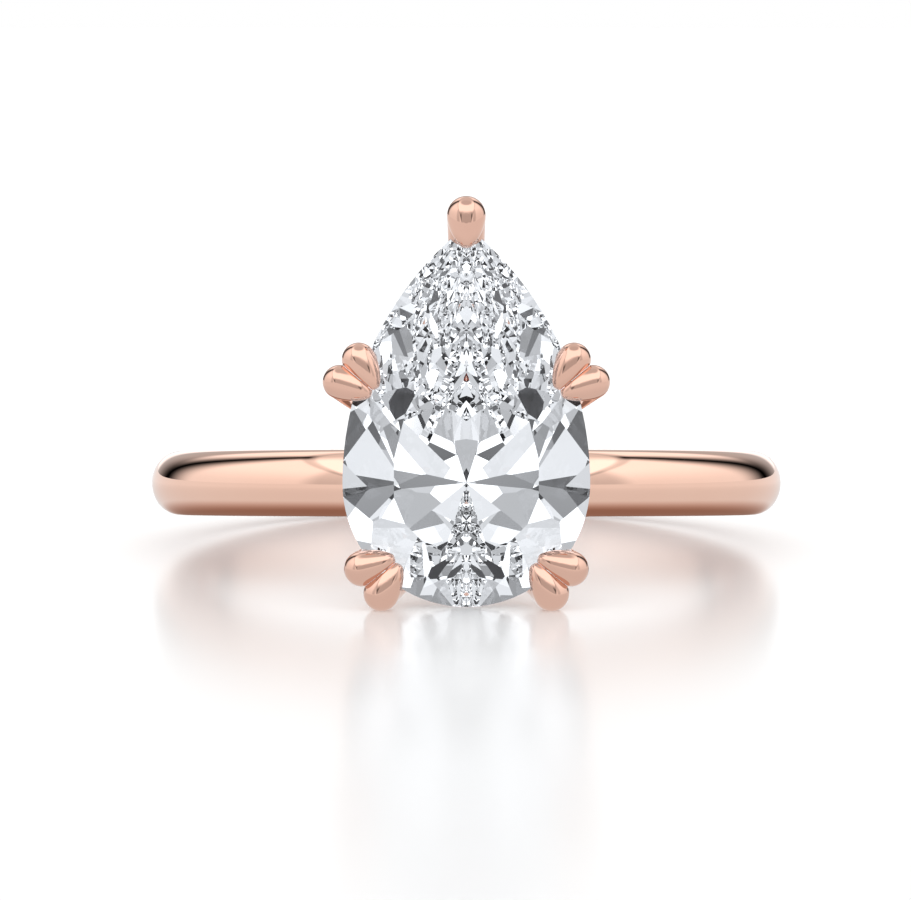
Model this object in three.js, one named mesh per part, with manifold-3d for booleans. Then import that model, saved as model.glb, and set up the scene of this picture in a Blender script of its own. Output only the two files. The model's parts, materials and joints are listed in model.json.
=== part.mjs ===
// A solitaire engagement ring: a polished court-shaped shank, a basket of claws on a peg, and a
// pear-shaped brilliant. Millimetres, +Z up.
//
// The ring is drawn upright: the finger axis runs along Y, the stone faces +Z, and the point of the
// pear looks along +Y. The last section lays it on its side, as it rests on a flat surface.

import * as THREE from 'three';
import { mergeVertices } from 'three/addons/utils/BufferGeometryUtils.js';
import Module from 'manifold-3d';

// ---------------------------------------------------------------- driving dimensions

// Shank
const FINGER_DIAMETER = 16.9;
const BAND_WIDTH = 2.05;
const BAND_DOME = 0.9;
const BAND_LINING = 0.8;
const LINING_FLATNESS = 0.6;

// Stone
const STONE_WIDTH = 7.25;
const STONE_LENGTH = 11.15;
const PAVILION_DEPTH = 3.1;
const GIRDLE_THICKNESS = 0.2;
const CROWN_HEIGHT = 1.1;
const TABLE_SHARE = 0.58;
const CULET_CLEARANCE = 0.95;

// Claws
const POINT_CLAW = { headDiameter: 1.05, footDiameter: 0.7 };
const BASKET_OUTSET = 0.35;
const POINT_OUTSET = 0.24;
const CLAW_REACH = 1.0;
const TIP_FULLNESS = 1.7;
const TIP_BLUNTNESS = 0.65;
const CLAW_LIFT = 0.32;
const CLAW_TIP_LIFT = 0.46;

// Basket
const BASKET_SHOULDER = { out: 0.16, up: 0.2 };
const BASKET_HIP = { out: 0.8, up: 0.58 };
const COLLET_DIAMETER = 3.3;
const COLLET_HEIGHT = 0.8;
const COLLET_FOOT_DIAMETER = 1.9;
const WIRE_FOOT_RADIUS = 1.15;
const WIRE_FOOT_SINK = 0.28;
const COLLET_LIP = { height: 0.12, shoulderDrop: 0.3, shoulderWidth: 0.92 };
const PEG_DIAMETER = 1.0;
const PEG_TOP_DROP = 0.1;
const RAIL_DIAMETER = 0.56;
const RAIL_INSET = 0.34;
const SEAT_RAIL_DROP = 0.85;
const GALLERY_RAIL_RISE = 1.0;

// Clearances
const SOLDER_GAP = 0.03;
const SEAT_CLEARANCE = 0.02;
const CLAW_SPLIT = 0.03;
const PEG_END_GAP = 0.05;

// The double claws on the right of the stone; each has a twin on the left. The bearing is where the
// pair stands round the stone, and the aim is the way that its two tips point in from.
const DOUBLE_CLAWS = [
  {
    name: 'upper', bearing: 43.8, aim: 40.5, outset: 0.35, headDiameter: 0.88, footDiameter: 0.6,
    spread: 0.46, footSpread: 0.2, tipSpread: 0.1,
  },
  {
    name: 'lower', bearing: -46, aim: -38, outset: 0.36, headDiameter: 0.92, footDiameter: 0.6,
    spread: 0.49, footSpread: 0.2, tipSpread: 0.1,
  },
];

// The directions that the main facets on the right half of the stone face, in degrees from +X.
const MAIN_FACETS = [-90, -45, 0, 28, 52, 90];
const HALF_FACET_SHARES = [0.27, 0.73];
const STAR_FACET_SHARES = [0.5];
const PAVILION_HALF_STEEPENING = 1.6;
const CROWN_HALF_STEEPENING = 6;
const STAR_FLATTENING = 11;

// Fineness of the round shapes
const BAND_STEPS = 72;
const BAND_SECTION_STEPS = 16;
const GIRDLE_STEPS = 64;
const WIRE_SIDES = 8;
const WIRE_STEPS = 6;
const HEAD_SIDES = 10;
const HEAD_STEPS = 5;
const RAIL_STEPS = 40;
const RAIL_SIDES = 8;
const ROUND_STEPS = 24;

// ---------------------------------------------------------------- derived sizes

const insideRadius = FINGER_DIAMETER / 2;
const outsideRadius = insideRadius + BAND_LINING + BAND_DOME;
const colletTop = outsideRadius + COLLET_HEIGHT;
const wireFootHeight = colletTop - WIRE_FOOT_SINK;
const culetHeight = outsideRadius + CULET_CLEARANCE;
const girdleHeight = culetHeight + PAVILION_DEPTH + GIRDLE_THICKNESS / 2;
const girdleTop = girdleHeight + GIRDLE_THICKNESS / 2;
const clawHeadHeight = girdleTop + CLAW_LIFT;
const clawTipHeight = girdleTop + CLAW_TIP_LIFT;

const roundRadius = STONE_WIDTH / 2;
const pointLength = STONE_LENGTH - roundRadius;
const wingRadius = (pointLength ** 2 + roundRadius ** 2) / STONE_WIDTH;
const wingCentre = wingRadius - roundRadius;
const pointFacing = Math.asin(pointLength / wingRadius);

const BIG = 4 * (outsideRadius + STONE_LENGTH);

// ---------------------------------------------------------------- solids

const wasm = await Module();
wasm.setup();

/** A closed solid of a three.js geometry. */
function solidOf(geometry) {
  const bare = geometry.index ? geometry.toNonIndexed() : geometry.clone();
  bare.deleteAttribute('normal');
  bare.deleteAttribute('uv');
  const merged = mergeVertices(bare, 1e-5);
  const positions = merged.getAttribute('position').array;
  const corners = merged.getIndex().array;
  const kept = [];
  for (let i = 0; i < corners.length; i += 3) {
    const [a, b, c] = corners.slice(i, i + 3);
    if (a !== b && b !== c && c !== a) kept.push(a, b, c);
  }
  return new wasm.Manifold(new wasm.Mesh({
    numProp: 3,
    vertProperties: new Float32Array(positions),
    triVerts: new Uint32Array(kept),
  }));
}

/** The three.js geometry of a solid. */
function geometryOf(solid) {
  const mesh = solid.getMesh();
  const geometry = new THREE.BufferGeometry();
  geometry.setAttribute('position', new THREE.BufferAttribute(new Float32Array(mesh.vertProperties), 3));
  geometry.setIndex(Array.from(mesh.triVerts));
  geometry.computeVertexNormals();
  return geometry;
}

/** The solid less all that lies beyond a plane, given by its outward normal and a point on it. */
function cutBeyond(solid, normal, point) {
  const block = new THREE.BoxGeometry(BIG, BIG, BIG);
  block.translate(0, 0, BIG / 2);
  const turn = new THREE.Quaternion().setFromUnitVectors(new THREE.Vector3(0, 0, 1), normal.clone().normalize());
  block.applyQuaternion(turn);
  block.translate(point.x, point.y, point.z);
  return solid.subtract(solidOf(block));
}

/** A round wire along a curve, tapering from its foot to its head. */
function wireAlong(curve, footDiameter, headDiameter) {
  const geometry = new THREE.CylinderGeometry(headDiameter / 2, footDiameter / 2, 1, WIRE_SIDES, WIRE_STEPS);
  const position = geometry.getAttribute('position');
  const vertical = new THREE.Vector3(0, 0, 1);
  for (let i = 0; i < position.count; i += 1) {
    const share = THREE.MathUtils.clamp(position.getY(i) + 0.5, 0, 1);
    const tangent = curve.getTangent(share);
    const sideways = tangent.clone().cross(vertical).normalize();
    const outward = tangent.clone().cross(sideways);
    const point = curve.getPoint(share);
    point.addScaledVector(sideways, position.getZ(i)).addScaledVector(outward, position.getX(i));
    position.setXYZ(i, point.x, point.y, point.z);
  }
  return solidOf(geometry);
}

// ---------------------------------------------------------------- outlines

/** A direction in the plane of the stone's face, from an angle in radians. */
function facing(angle) {
  return new THREE.Vector3(Math.cos(angle), Math.sin(angle), 0);
}

/** The distance from the culet's axis to the pear's outline, moved out by outset, at a bearing. */
function pearRadius(bearing, outset = 0) {
  if (Math.sin(bearing) <= 0) return roundRadius + outset;
  const along = wingCentre * Math.abs(Math.cos(bearing));
  return Math.sqrt(along ** 2 + (wingRadius + outset) ** 2 - wingCentre ** 2) - along;
}

/** The point where the pear's outline faces a direction. */
function tangentPoint(angle) {
  if (Math.sin(angle) <= 0) return facing(angle).multiplyScalar(roundRadius);
  const side = Math.cos(angle) < 0 ? -1 : 1;
  const turn = Math.min(Math.atan2(Math.sin(angle), Math.abs(Math.cos(angle))), pointFacing);
  const x = wingRadius * Math.cos(turn) - wingCentre;
  return new THREE.Vector3(side * x, wingRadius * Math.sin(turn), 0);
}

/** The swelling line of the basket from a point of its foot to a point of its mouth. */
function basketCurve(foot, top) {
  const rise = top.clone().sub(foot);
  const along = ({ out, up }) => foot.clone().add(new THREE.Vector3(out * rise.x, out * rise.y, up * rise.z));
  return new THREE.CubicBezierCurve3(foot, along(BASKET_SHOULDER), along(BASKET_HIP), top);
}

// ---------------------------------------------------------------- shank

/** The band, with its section grown by an allowance on every side. */
function bandSolid(allowance = 0) {
  const middle = insideRadius + BAND_LINING;
  const halfWidth = BAND_WIDTH / 2 + allowance;
  const profile = [];
  for (let i = 0; i <= BAND_SECTION_STEPS; i += 1) {
    const angle = (2 * Math.PI * i) / BAND_SECTION_STEPS;
    const across = Math.sin(angle);
    const out = Math.cos(angle);
    const flatness = out < 0 ? LINING_FLATNESS : 1;
    const depth = out < 0 ? BAND_LINING : BAND_DOME;
    const radial = Math.sign(out) * Math.abs(out) ** flatness * (depth + allowance);
    const axial = Math.sign(across) * Math.abs(across) ** flatness * halfWidth;
    profile.push(new THREE.Vector2(middle + radial, axial));
  }
  return solidOf(new THREE.LatheGeometry(profile, BAND_STEPS));
}

/** A round pin along Z between two heights. */
function pinSolid(diameter, low, high) {
  const geometry = new THREE.CylinderGeometry(diameter / 2, diameter / 2, high - low, ROUND_STEPS);
  geometry.rotateX(Math.PI / 2);
  geometry.translate(0, 0, (low + high) / 2);
  return solidOf(geometry);
}

function makeShank() {
  const hole = pinSolid(PEG_DIAMETER + 2 * SOLDER_GAP, insideRadius - 1, outsideRadius + 1);
  return bandSolid().subtract(hole);
}

// ---------------------------------------------------------------- collet and peg

function makeCollet() {
  const footHeight = outsideRadius - BAND_DOME;
  const shoulderRadius = (COLLET_LIP.shoulderWidth * COLLET_DIAMETER) / 2;
  const profile = [
    new THREE.Vector2(0, footHeight),
    new THREE.Vector2(COLLET_FOOT_DIAMETER / 2, footHeight),
    new THREE.Vector2(COLLET_FOOT_DIAMETER / 2, outsideRadius),
    new THREE.Vector2(shoulderRadius, colletTop - COLLET_LIP.shoulderDrop * COLLET_HEIGHT),
    new THREE.Vector2(COLLET_DIAMETER / 2, colletTop - COLLET_LIP.height * COLLET_HEIGHT),
    new THREE.Vector2(COLLET_DIAMETER / 2, colletTop),
    new THREE.Vector2(0, colletTop),
  ];
  const cup = new THREE.LatheGeometry(profile, ROUND_STEPS);
  cup.rotateX(Math.PI / 2);
  const saddled = solidOf(cup).subtract(bandSolid(SOLDER_GAP));
  const peg = pinSolid(PEG_DIAMETER, insideRadius + PEG_END_GAP, colletTop - PEG_TOP_DROP * COLLET_HEIGHT);
  return saddled.add(peg);
}

// ---------------------------------------------------------------- stone

/** The directions of all main facets round the stone, in radians, in order. */
function mainFacings() {
  const right = MAIN_FACETS.map((degrees) => THREE.MathUtils.degToRad(degrees));
  const left = right.slice(1, -1).reverse().map((angle) => Math.PI - angle);
  return [...right, ...left];
}

/** The directions part of the way from each main facet to the next. */
function facingsBetween(shares) {
  const mains = mainFacings();
  const found = [];
  mains.forEach((from, i) => {
    const next = mains[(i + 1) % mains.length];
    const to = next < from ? next + 2 * Math.PI : next;
    shares.forEach((share) => found.push(from + share * (to - from)));
  });
  return found;
}

/** The stone, with every face moved out by an allowance. */
function stoneSolid(allowance = 0) {
  const outline = new THREE.Shape();
  for (let i = 0; i < GIRDLE_STEPS; i += 1) {
    const bearing = (2 * Math.PI * (i + 0.5)) / GIRDLE_STEPS - Math.PI / 2;
    const point = facing(bearing).multiplyScalar(pearRadius(bearing, allowance));
    if (i === 0) outline.moveTo(point.x, point.y);
    else outline.lineTo(point.x, point.y);
  }
  outline.closePath();
  const depth = PAVILION_DEPTH + GIRDLE_THICKNESS + CROWN_HEIGHT + 2 * allowance;
  const blank = new THREE.ExtrudeGeometry(outline, { depth, bevelEnabled: false });
  blank.translate(0, 0, -PAVILION_DEPTH - GIRDLE_THICKNESS / 2 - allowance);
  let stone = solidOf(blank);

  const cut = (angle, slope, touching, up) => {
    const normal = facing(angle).multiplyScalar(Math.sin(slope));
    normal.z = up * Math.cos(slope);
    const point = touching.clone().addScaledVector(normal, allowance);
    stone = cutBeyond(stone, normal, point);
  };
  const culet = new THREE.Vector3(0, 0, -PAVILION_DEPTH - GIRDLE_THICKNESS / 2);
  const pavilionSlope = (angle) => Math.atan2(PAVILION_DEPTH, tangentPoint(angle).dot(facing(angle)));
  const crownSlope = (angle) => {
    const rim = tangentPoint(angle).dot(facing(angle));
    return Math.atan2(CROWN_HEIGHT, rim * (1 - TABLE_SHARE));
  };
  const onGirdle = (angle, up) => tangentPoint(angle).setZ((up * GIRDLE_THICKNESS) / 2);

  mainFacings().forEach((angle) => {
    cut(angle, pavilionSlope(angle), culet, -1);
    cut(angle, crownSlope(angle), onGirdle(angle, 1), 1);
  });
  facingsBetween(HALF_FACET_SHARES).forEach((angle) => {
    const lower = pavilionSlope(angle) + THREE.MathUtils.degToRad(PAVILION_HALF_STEEPENING);
    const upper = crownSlope(angle) + THREE.MathUtils.degToRad(CROWN_HALF_STEEPENING);
    cut(angle, lower, onGirdle(angle, -1), -1);
    cut(angle, upper, onGirdle(angle, 1), 1);
  });
  facingsBetween(STAR_FACET_SHARES).forEach((angle) => {
    const rim = tangentPoint(angle).dot(facing(angle));
    const edge = facing(angle).multiplyScalar(rim * TABLE_SHARE);
    edge.z = GIRDLE_THICKNESS / 2 + CROWN_HEIGHT;
    cut(angle, crownSlope(angle) - THREE.MathUtils.degToRad(STAR_FLATTENING), edge, 1);
  });
  return stone.translate([0, 0, girdleHeight]);
}

const stoneSeat = stoneSolid(SEAT_CLEARANCE);

// ---------------------------------------------------------------- rails

/** A ring of round wire that follows the inside of the basket at a share of its height. */
function railSolid(share, allowance = 0) {
  const radius = RAIL_DIAMETER / 2 + allowance;
  const geometry = new THREE.TorusGeometry(roundRadius, radius, RAIL_SIDES, RAIL_STEPS);
  const path = (bearing) => {
    const foot = facing(bearing).multiplyScalar(WIRE_FOOT_RADIUS).setZ(wireFootHeight);
    const top = facing(bearing).multiplyScalar(pearRadius(bearing, BASKET_OUTSET)).setZ(clawHeadHeight);
    return basketCurve(foot, top).getPoint(share);
  };
  const position = geometry.getAttribute('position');
  for (let i = 0; i < position.count; i += 1) {
    const x = position.getX(i);
    const y = position.getY(i);
    const bearing = Math.atan2(y, x);
    const centre = path(bearing);
    const run = path(bearing + 0.01).sub(path(bearing - 0.01));
    const outward = new THREE.Vector3(run.y, -run.x, 0).normalize();
    centre.addScaledVector(outward, Math.hypot(x, y) - roundRadius - RAIL_INSET);
    position.setXYZ(i, centre.x, centre.y, centre.z + position.getZ(i));
  }
  return solidOf(geometry);
}

/** The share of the basket's curve at which it reaches a height. */
function shareAtHeight(height) {
  const line = basketCurve(new THREE.Vector3(0, 0, wireFootHeight), new THREE.Vector3(1, 0, clawHeadHeight));
  let low = 0;
  let high = 1;
  for (let i = 0; i < 30; i += 1) {
    const share = (low + high) / 2;
    if (line.getPoint(share).z < height) low = share;
    else high = share;
  }
  return low;
}

const seatRailShare = shareAtHeight(girdleHeight - SEAT_RAIL_DROP);
const galleryRailShare = shareAtHeight(colletTop + GALLERY_RAIL_RISE);

/** A rail with the bearing for the stone cut out of it. */
function makeRail(share) {
  return railSolid(share).subtract(stoneSeat);
}

// ---------------------------------------------------------------- claws

const seatRailNotch = railSolid(seatRailShare, SOLDER_GAP);
const galleryRailNotch = railSolid(galleryRailShare, SOLDER_GAP);

/** A teardrop whose round end is centred at head and whose tip is at tip. */
function teardropSolid(head, tip, diameter) {
  const radius = diameter / 2;
  const length = head.distanceTo(tip);
  const profile = [];
  for (let i = 0; i <= HEAD_STEPS; i += 1) {
    const angle = (Math.PI / 2) * (i / HEAD_STEPS);
    profile.push(new THREE.Vector2(radius * Math.sin(angle), -radius * Math.cos(angle)));
  }
  for (let i = 1; i <= HEAD_STEPS; i += 1) {
    const share = i / HEAD_STEPS;
    profile.push(new THREE.Vector2(radius * (1 - share ** TIP_FULLNESS) ** TIP_BLUNTNESS, length * share));
  }
  const geometry = new THREE.LatheGeometry(profile, HEAD_SIDES);
  const along = tip.clone().sub(head).normalize();
  geometry.applyQuaternion(new THREE.Quaternion().setFromUnitVectors(new THREE.Vector3(0, 1, 0), along));
  geometry.translate(head.x, head.y, head.z);
  return solidOf(geometry);
}

/** A claw from its foot to its head, with the teardrop tip laid over the crown. */
function clawSolid(foot, head, tip, sizes, allowance = 0) {
  const footDiameter = sizes.footDiameter + 2 * allowance;
  const headDiameter = sizes.headDiameter + 2 * allowance;
  const wire = wireAlong(basketCurve(foot, head), footDiameter, headDiameter);
  let claw = wire.add(teardropSolid(head, tip, headDiameter));
  claw = claw.subtract(stoneSeat).subtract(seatRailNotch).subtract(galleryRailNotch);
  const down = new THREE.Vector3(0, 0, -1);
  return cutBeyond(claw, down, new THREE.Vector3(0, 0, colletTop + SOLDER_GAP));
}

/** The single claw over the point, grown by an allowance on every side. */
function pointClawSolid(allowance = 0) {
  const reach = facing(Math.PI / 2);
  const foot = reach.clone().multiplyScalar(WIRE_FOOT_RADIUS).setZ(wireFootHeight);
  const head = reach.clone().multiplyScalar(pointLength + POINT_OUTSET).setZ(clawHeadHeight);
  const tip = reach.clone().multiplyScalar(pointLength + POINT_OUTSET - CLAW_REACH).setZ(clawTipHeight);
  return clawSolid(foot, head, tip, POINT_CLAW, allowance);
}

const pointClawNotch = pointClawSolid(SOLDER_GAP);

/** One wire of a double claw on the right: side +1 is the wire nearer the point, -1 the other. */
function makeDoubleClawWire(pair, side) {
  const bearing = THREE.MathUtils.degToRad(pair.bearing);
  const aim = THREE.MathUtils.degToRad(pair.aim);
  const inward = facing(aim).negate();
  const across = facing(aim + Math.PI / 2);
  const middle = facing(bearing).multiplyScalar(pearRadius(bearing, pair.outset));
  const beyondFoot = middle.dot(facing(aim)) - Math.sqrt(
    WIRE_FOOT_RADIUS ** 2 - middle.dot(across) ** 2,
  );
  const footMiddle = middle.clone().addScaledVector(inward, beyondFoot);
  const tipMiddle = middle.clone().addScaledVector(inward, CLAW_REACH);

  const foot = footMiddle.clone().addScaledVector(across, side * pair.footSpread).setZ(wireFootHeight);
  const head = middle.clone().addScaledVector(across, side * pair.spread).setZ(clawHeadHeight);
  const tip = tipMiddle.clone().addScaledVector(across, side * pair.tipSpread).setZ(clawTipHeight);
  const whole = clawSolid(foot, head, tip, pair).subtract(pointClawNotch);
  const splitPoint = middle.clone().addScaledVector(across, (side * CLAW_SPLIT) / 2);
  const half = cutBeyond(whole, across.clone().multiplyScalar(-side), splitPoint);
  return cutBeyond(half, new THREE.Vector3(-1, 0, 0), new THREE.Vector3(SOLDER_GAP / 2, 0, 0));
}

// ---------------------------------------------------------------- the assembly

const roseGold = () => new THREE.MeshStandardMaterial({ color: 0xe3ad93, roughness: 0.12, metalness: 1 });
const diamondFinish = () => new THREE.MeshStandardMaterial({ color: 0xe8ecf0, roughness: 0.02, metalness: 0 });

const upright = new THREE.Group();

function place(name, solid, material) {
  const mesh = new THREE.Mesh(geometryOf(solid), material);
  mesh.name = name;
  upright.add(mesh);
}

place('shank', makeShank(), roseGold());
place('diamond', stoneSolid(), diamondFinish());
place('peg_collet', makeCollet(), roseGold());
place('gallery_rail', makeRail(galleryRailShare), roseGold());
place('seat_rail', makeRail(seatRailShare), roseGold());
place('point_claw', pointClawSolid(), roseGold());
DOUBLE_CLAWS.forEach((pair) => {
  [[1, 'a'], [-1, 'b']].forEach(([side, letter]) => {
    const wire = makeDoubleClawWire(pair, side);
    place(`${pair.name}_right_claw_${letter}`, wire, roseGold());
    place(`${pair.name}_left_claw_${letter}`, wire.mirror([1, 0, 0]), roseGold());
  });
});

// ---------------------------------------------------------------- how it rests

/** Every corner of every piece of the upright ring, as height and place along the finger axis. */
function cornersOf(group) {
  const found = [];
  group.children.forEach((mesh) => {
    const position = mesh.geometry.getAttribute('position');
    for (let i = 0; i < position.count; i += 1) found.push([position.getY(i), position.getZ(i)]);
  });
  return found;
}

/** The lean, in radians, at which the stone's side and the back of the band touch the table at once. */
function restingLean(group) {
  const corners = cornersOf(group);
  const lowest = (lean, isSide) => Math.min(...corners.filter(([, z]) => isSide(z))
    .map(([y, z]) => z * Math.sin(lean) + y * Math.cos(lean)));
  let least = 0;
  let most = Math.PI / 6;
  for (let i = 0; i < 40; i += 1) {
    const lean = (least + most) / 2;
    if (lowest(lean, (z) => z > 0) < lowest(lean, (z) => z <= 0)) least = lean;
    else most = lean;
  }
  return (least + most) / 2;
}

upright.rotation.x = Math.PI / 2 - restingLean(upright);

const ring = new THREE.Group();
ring.add(upright);
ring.updateMatrixWorld(true);
const box = new THREE.Box3().setFromObject(ring, true);
const centre = box.getCenter(new THREE.Vector3());
upright.position.set(-centre.x, -centre.y, -box.min.z);
ring.updateMatrixWorld(true);

export default ring;
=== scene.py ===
"""The looks of a rose gold engagement ring with a pear-shaped brilliant.

Every piece is drawn on the bench: in millimetres, with the finger axis along Y, the face of the
stone towards +Z and the point of the pear towards +Y. It is then laid down to rest on the floor,
in metres, where the record says that the finger bore lies.
"""

import json
import logging
import math
from contextlib import contextmanager
from dataclasses import dataclass, field
from enum import Enum
from typing import Dict, Iterator, List, Optional, Sequence, Tuple, Union

import bpy
from mathutils import Matrix, Vector


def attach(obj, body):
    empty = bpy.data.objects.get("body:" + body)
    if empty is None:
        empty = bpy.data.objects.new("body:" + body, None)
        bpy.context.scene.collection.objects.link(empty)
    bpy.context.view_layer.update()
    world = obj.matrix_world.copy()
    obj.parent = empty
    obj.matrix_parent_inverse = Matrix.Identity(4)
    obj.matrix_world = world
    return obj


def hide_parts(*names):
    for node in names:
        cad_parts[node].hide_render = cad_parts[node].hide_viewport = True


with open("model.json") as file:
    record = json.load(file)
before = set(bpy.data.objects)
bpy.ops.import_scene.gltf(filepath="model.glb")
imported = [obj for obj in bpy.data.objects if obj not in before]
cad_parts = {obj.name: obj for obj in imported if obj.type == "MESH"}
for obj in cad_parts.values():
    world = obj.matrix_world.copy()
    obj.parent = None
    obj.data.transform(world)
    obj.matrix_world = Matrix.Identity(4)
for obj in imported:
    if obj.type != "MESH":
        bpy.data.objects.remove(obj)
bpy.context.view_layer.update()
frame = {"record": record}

logging.basicConfig(level=logging.INFO, format="%(message)s")
LOG = logging.getLogger("ring")

BODY = "root"
MILLIMETRE = 0.001
DEGREES = 180 / math.pi
WELD_DISTANCE = 1e-4
CUT_TOLERANCE = 1e-6

Number = Union[int, float]
Triple = Tuple[float, float, float]
Colour = Tuple[float, float, float, float]
Span = Tuple[Number, Number]


# ---------------- the bench


@dataclass(frozen=True)
class Bench:
    """Where the upright bench frame lies in the frame of the record."""

    placement: Matrix

    @classmethod
    def from_record(cls, record: dict) -> "Bench":
        """Reads the bench from the record's finger bore, along which its Y runs."""
        bore = next(m for m in record["mounts"] if m["name"] == "finger_bore")
        finger = Vector(bore["axis"]).normalized()
        lateral = Vector((1, 0, 0))
        face = lateral.cross(finger)
        turn = Matrix((lateral, finger, face)).transposed().to_4x4()
        scale = Matrix.Scale(MILLIMETRE, 4)
        return cls(Matrix.Translation(Vector(bore["pos_m"])) @ turn @ scale)

    def point(self, x: float, y: float, z: float) -> Vector:
        """A point of the bench, in metres in the frame of the record."""
        return self.placement @ Vector((x, y, z))

    def direction(self, x: float, y: float, z: float) -> Vector:
        """A direction of the bench, in the frame of the record."""
        return (self.placement.to_3x3() @ Vector((x, y, z))).normalized()


# ---------------- hand work


class TurnAxis(Enum):
    """The axis that a wire bends round while it is drawn."""

    ACROSS = "Y"
    UPRIGHT = "Z"


@dataclass(frozen=True)
class Station:
    """A cross-section of a wire: its centre, the heading of the wire there, and its radius."""

    centre: Vector
    heading: float
    radius: float


def deselect_all() -> None:
    """Leaves nothing selected."""
    if bpy.context.object and bpy.context.object.mode != "OBJECT":
        bpy.ops.object.mode_set(mode="OBJECT")
    bpy.ops.object.select_all(action="DESELECT")


def take_up(piece: bpy.types.Object) -> None:
    """Makes one object the only selected one."""
    deselect_all()
    piece.select_set(True)
    bpy.context.view_layer.objects.active = piece


@contextmanager
def editing(piece: bpy.types.Object) -> Iterator[None]:
    """Holds one object in edit mode, with all of its mesh selected to begin with."""
    take_up(piece)
    bpy.ops.object.mode_set(mode="EDIT")
    bpy.ops.mesh.select_all(action="SELECT")
    yield
    bpy.ops.object.mode_set(mode="OBJECT")


def face_outward() -> None:
    """Turns every face of the mesh being edited outward."""
    bpy.ops.mesh.select_all(action="SELECT")
    bpy.ops.mesh.normals_make_consistent(inside=False)


def weld(piece: bpy.types.Object) -> None:
    """Merges the doubled points of a piece and turns its faces outward."""
    with editing(piece):
        bpy.ops.mesh.remove_doubles(threshold=WELD_DISTANCE)
        face_outward()


def draw_wire(
    name: str, stations: Sequence[Station], sides: int, axis: TurnAxis = TurnAxis.ACROSS
) -> bpy.types.Object:
    """Draws a round wire through its stations.

    Args:
        name: The name of the new object.
        stations: The cross-sections from one end to the other.
        sides: How many sides the wire has.
        axis: The axis that the wire bends round.

    Returns:
        The closed wire.
    """
    deselect_all()
    first = stations[0]
    if axis is TurnAxis.ACROSS:
        start = (0, first.heading, 0)
    else:
        start = (0, math.pi / 2, first.heading)
    bpy.ops.mesh.primitive_circle_add(
        vertices=sides, radius=first.radius, location=first.centre, rotation=start
    )
    wire = bpy.context.object
    wire.name = name
    bpy.ops.object.transform_apply(location=True, rotation=True, scale=True)
    with editing(wire):
        for before, after in zip(stations, stations[1:]):
            middle = after.centre
            step = middle - before.centre
            bpy.ops.mesh.extrude_region_move(TRANSFORM_OT_translate={"value": step})
            turn = before.heading - after.heading
            bpy.ops.transform.rotate(value=turn, orient_axis=axis.value, center_override=middle)
            growth = (after.radius / before.radius,) * 3
            bpy.ops.transform.resize(value=growth, center_override=middle)
        bpy.ops.mesh.select_all(action="SELECT")
        bpy.ops.mesh.remove_doubles(threshold=WELD_DISTANCE)
        bpy.ops.mesh.select_all(action="DESELECT")
        bpy.ops.mesh.select_non_manifold(extend=False)
        bpy.ops.mesh.fill_holes(sides=0)
        face_outward()
    return wire


def draw_pin(name: str, profile: Sequence[Span], sides: int) -> bpy.types.Object:
    """Draws a turned pin on the bench's upright axis.

    Args:
        name: The name of the new object.
        profile: Its radius and height at each step.
        sides: How many sides the pin has.

    Returns:
        The closed pin.
    """
    stations = [Station(Vector((0, 0, height)), 0.0, radius) for radius, height in profile]
    return draw_wire(name, stations, sides)


def join(pieces: Sequence[bpy.types.Object]) -> bpy.types.Object:
    """Joins pieces into the first of them."""
    take_up(pieces[0])
    for piece in pieces[1:]:
        piece.select_set(True)
    bpy.ops.object.join()
    return pieces[0]


def finish_modifier(piece: bpy.types.Object, kind: str, **settings: object) -> None:
    """Adds a modifier of one kind with its settings, and applies it at once."""
    take_up(piece)
    modifier = piece.modifiers.new(kind.lower(), kind)
    for setting, value in settings.items():
        setattr(modifier, setting, value)
    bpy.ops.object.modifier_apply(modifier=modifier.name)


def melt_together(piece: bpy.types.Object, grain: float, passes: int) -> None:
    """Casts overlapping shells into one skin of a grain, and polishes it in passes."""
    finish_modifier(piece, "REMESH", mode="VOXEL", voxel_size=grain)
    finish_modifier(piece, "SMOOTH", factor=0.5, iterations=passes)


def carve(piece: bpy.types.Object, cutter: bpy.types.Object) -> None:
    """Takes the space of a cutter out of a piece."""
    finish_modifier(piece, "BOOLEAN", operation="DIFFERENCE", solver="EXACT", object=cutter)


def cut_beyond(piece: bpy.types.Object, point: Vector, normal: Vector) -> None:
    """Cuts off what lies beyond a plane, on the side of its normal, and closes the cut."""
    with editing(piece):
        bpy.ops.mesh.bisect(
            plane_co=point,
            plane_no=normal,
            use_fill=True,
            clear_outer=True,
            threshold=CUT_TOLERANCE,
        )


def discard(piece: bpy.types.Object) -> None:
    """Throws a tool away."""
    bpy.data.objects.remove(piece)


def duplicate(piece: bpy.types.Object, name: str) -> bpy.types.Object:
    """Copies a piece with its own mesh."""
    twin = piece.copy()
    twin.data = piece.data.copy()
    twin.name = name
    bpy.context.scene.collection.objects.link(twin)
    return twin


def mirror_over(piece: bpy.types.Object) -> None:
    """Turns a piece into its twin on the other side of the ring."""
    piece.data.transform(Matrix.Scale(-1, 4, (1, 0, 0)))
    with editing(piece):
        face_outward()


# ---------------- shader graphs


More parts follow.
